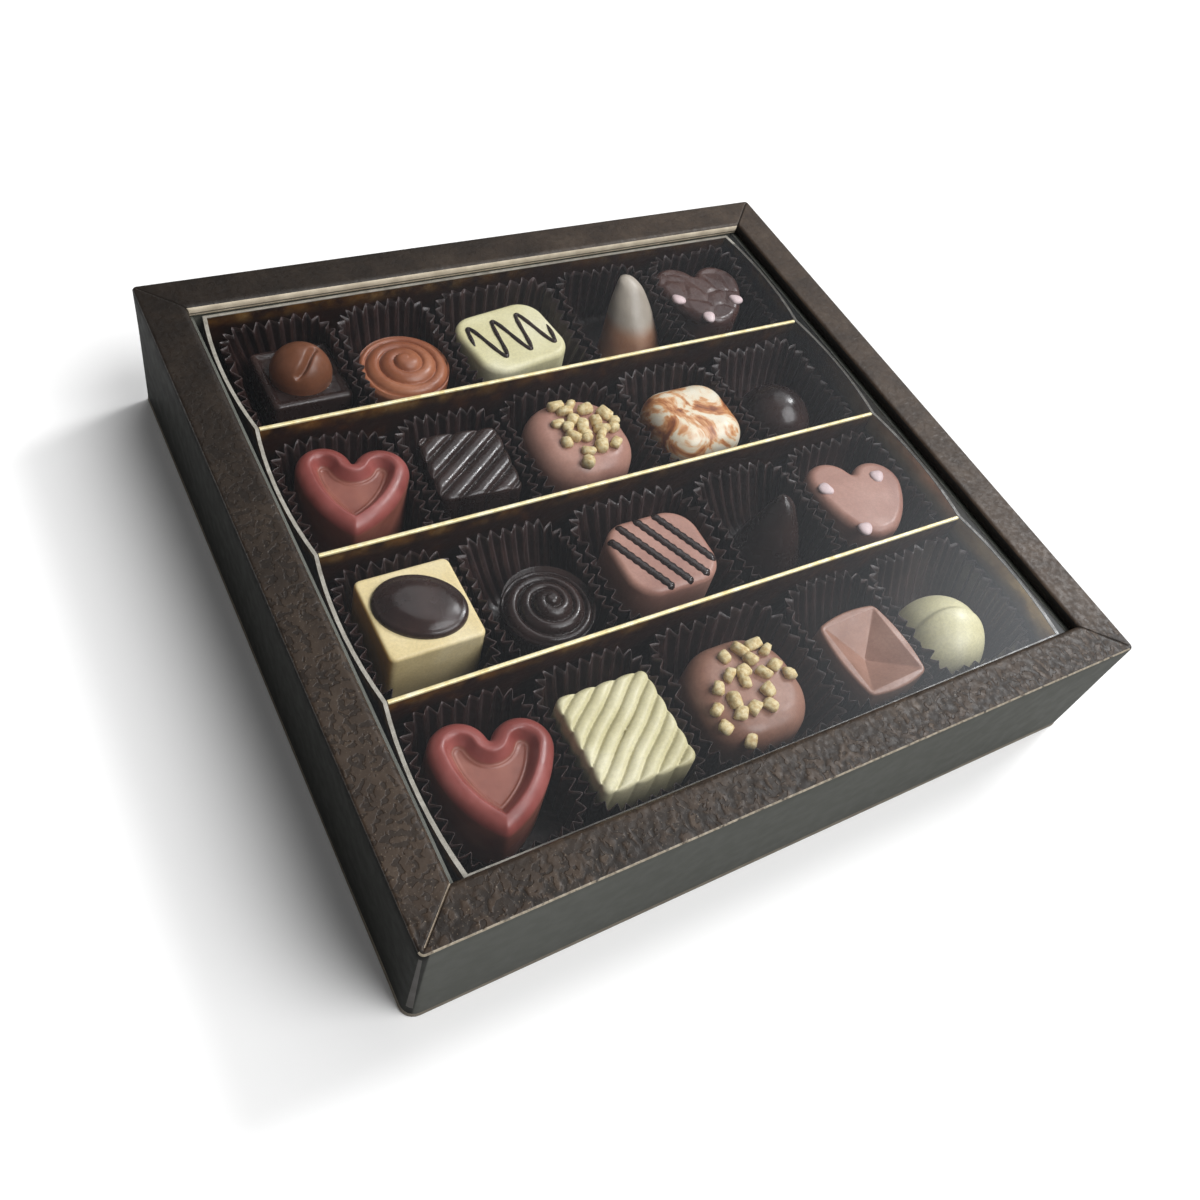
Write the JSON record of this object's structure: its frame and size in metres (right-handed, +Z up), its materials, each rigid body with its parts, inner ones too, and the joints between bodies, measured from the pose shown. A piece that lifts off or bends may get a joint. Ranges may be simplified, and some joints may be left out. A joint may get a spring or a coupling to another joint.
{
  "type": "chocolate box",
  "caption": "Flat rectangular chocolate box: embossed card lid with a clear window over a lift-out insert of pralines in pleated cups between gold dividers.",
  "frame": {"origin": "centre of the box on the surface that it lies on", "axes": "+Z up, out of the window; +X along the rows of pralines, the longer side; +Y to the back row"},
  "size_m": [0.2, 0.1934, 0.04],
  "materials": {
    "embossed_card": "brown leather-embossed card, matt with a slight sheen",
    "window_film": "clear glossy film",
    "base_card": "dark smooth card",
    "gold_card": "metallic gold card, satin",
    "cup_paper": "very dark brown glassine, slightly glossy",
    "dark_chocolate": "dark chocolate, satin",
    "milk_chocolate": "milk chocolate, satin",
    "white_chocolate": "white chocolate, satin",
    "red_chocolate": "red coated chocolate, glossy",
    "pink_chocolate": "pink chocolate, satin",
    "marbled_chocolate": "white and caramel marbled chocolate, satin",
    "pink_topping": "pale pink topping, matt",
    "nut_pieces": "chopped nuts, matt"
  },
  "bodies": {
    "base": {"base_tray": "base_card"},
    "insert": {"insert_tray": "gold_card", "divider_1": "gold_card", "divider_2": "gold_card", "divider_3": "gold_card", "cup_11": "cup_paper", "cup_12": "cup_paper", "cup_13": "cup_paper", "cup_14": "cup_paper", "cup_15": "cup_paper", "cup_21": "cup_paper", "cup_22": "cup_paper", "cup_23": "cup_paper", "cup_24": "cup_paper", "cup_25": "cup_paper", "cup_31": "cup_paper", "cup_32": "cup_paper", "cup_33": "cup_paper", "cup_34": "cup_paper", "cup_35": "cup_paper", "cup_41": "cup_paper", "cup_42": "cup_paper", "cup_43": "cup_paper", "cup_44": "cup_paper", "cup_45": "cup_paper", "praline_11": "dark_chocolate", "praline_12": "milk_chocolate", "praline_13": "white_chocolate", "praline_14": "milk_chocolate", "praline_15": "dark_chocolate", "praline_21": "red_chocolate", "praline_22": "dark_chocolate", "praline_23": "milk_chocolate", "praline_24": "marbled_chocolate", "praline_25": "dark_chocolate", "praline_31": "white_chocolate", "praline_32": "dark_chocolate", "praline_33": "milk_chocolate", "praline_34": "dark_chocolate", "praline_35": "pink_chocolate", "praline_41": "red_chocolate", "praline_42": "white_chocolate", "praline_43": "milk_chocolate", "praline_44": "milk_chocolate", "praline_45": "white_chocolate", "coffee_bean": "dark_chocolate", "dark_lines": "dark_chocolate", "dots_15": "pink_topping", "nuts_23": "nut_pieces", "dark_oval": "dark_chocolate", "dark_stripes": "dark_chocolate", "dots_35": "pink_topping", "nuts_43": "nut_pieces"},
    "lid": {"lid_frame": "embossed_card", "window_film": "window_film"}
  },
  "joints": [
    {"name": "insert_lift", "type": "slide", "parent": "base", "child": "insert", "axis": [0, 0, 1], "range_m": [0, 0.05]},
    {"name": "lid_lift", "type": "slide", "parent": "insert", "child": "lid", "axis": [0, 0, 1], "range_m": [0, 0.1]}
  ]
}
